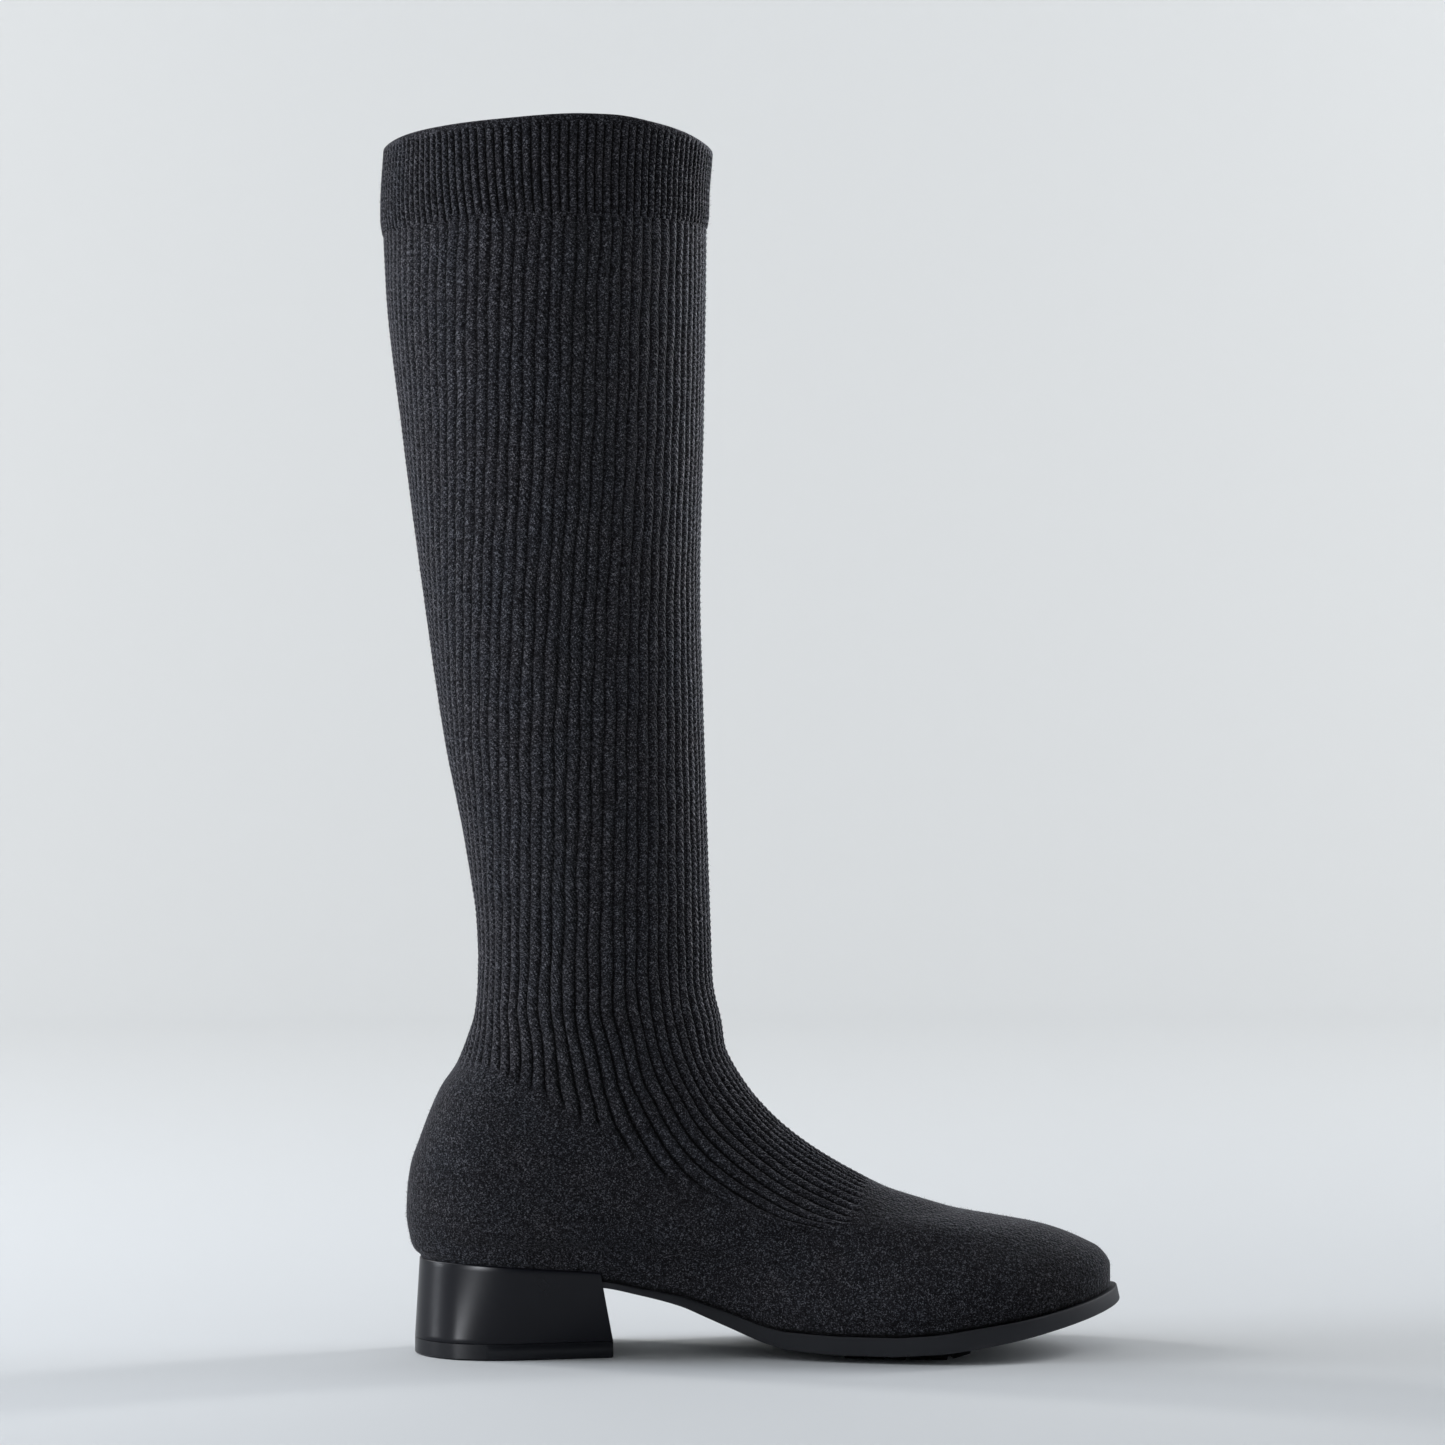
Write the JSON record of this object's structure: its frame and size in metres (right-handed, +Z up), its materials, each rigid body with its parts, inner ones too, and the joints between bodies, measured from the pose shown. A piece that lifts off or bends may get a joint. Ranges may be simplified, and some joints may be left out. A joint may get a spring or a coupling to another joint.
{
  "type": "sweater boot",
  "caption": "Knitted wool sock boot with a ribbed cuff, rounded toe, rubber outsole with toe spring, inset forefoot tread and a low moulded block heel with a cupped rim.",
  "frame": {"origin": "on the floor, under the middle of the boot's box", "axes": "+X towards the toe, +Y towards the wearer's outer side of this left boot, +Z up the shaft"},
  "size_m": [0.272, 0.0982, 0.4468],
  "materials": {
    "knit": "charcoal melange wool knit, ribbed on cuff, shaft and instep",
    "footbed": "dark brushed lining cloth",
    "sole_rubber": "matte dark grey moulded rubber",
    "tread_rubber": "matte black rubber",
    "heel_plastic": "satin black moulded plastic",
    "lift_rubber": "satin black hard rubber"
  },
  "bodies": {
    "root": {"upper": "knit", "insole": "footbed", "outsole": "sole_rubber", "tread_pad": "tread_rubber", "heel": "heel_plastic", "top_lift": "lift_rubber"}
  },
  "joints": []
}
